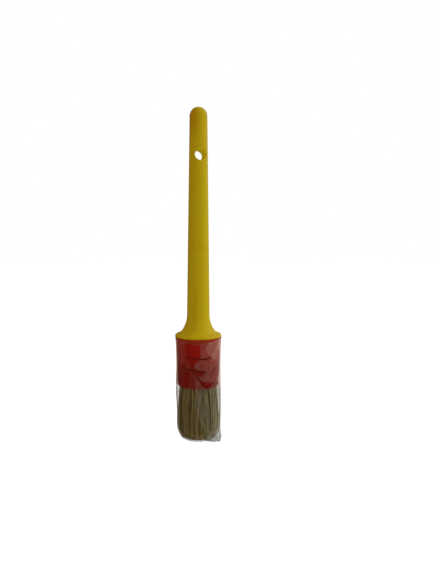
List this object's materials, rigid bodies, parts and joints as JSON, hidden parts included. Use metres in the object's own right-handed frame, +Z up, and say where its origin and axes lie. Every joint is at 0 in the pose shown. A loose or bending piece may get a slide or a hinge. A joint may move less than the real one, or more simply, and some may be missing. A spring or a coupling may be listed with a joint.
{
  "type": "round paint brush",
  "caption": "Round bristle paint brush with a tapered plastic handle, hanging hole and flared flange, a plastic ferrule, and a clear film sleeve that slides off the bristle.",
  "frame": {"origin": "centre of the hanging hole", "axes": "+Z up the handle towards its tip, so the bristle points along -Z; +Y along the hanging hole; +X towards the film sleeve's folded corner"},
  "size_m": [0.0329, 0.0322, 0.2324],
  "materials": {
    "yellow_plastic": "satin moulded polypropylene",
    "red_plastic": "gloss moulded polystyrene",
    "cast_resin": "cast resin with bristle roots in it",
    "plug_plastic": "matt moulded plastic",
    "bristle": "natural bristle, mixed brown and straw",
    "clear_film": "clear creased packing film"
  },
  "bodies": {
    "brush": {"handle": "yellow_plastic", "ferrule": "red_plastic", "root_resin": "cast_resin", "spacer_plug": "plug_plastic", "bristle_knot": "bristle"},
    "sleeve": {"film_sleeve": "clear_film"}
  },
  "joints": [
    {"name": "sleeve_pull_off", "type": "slide", "parent": "brush", "child": "sleeve", "axis": [0, 0, -1], "range_m": [0, 0.075]}
  ]
}
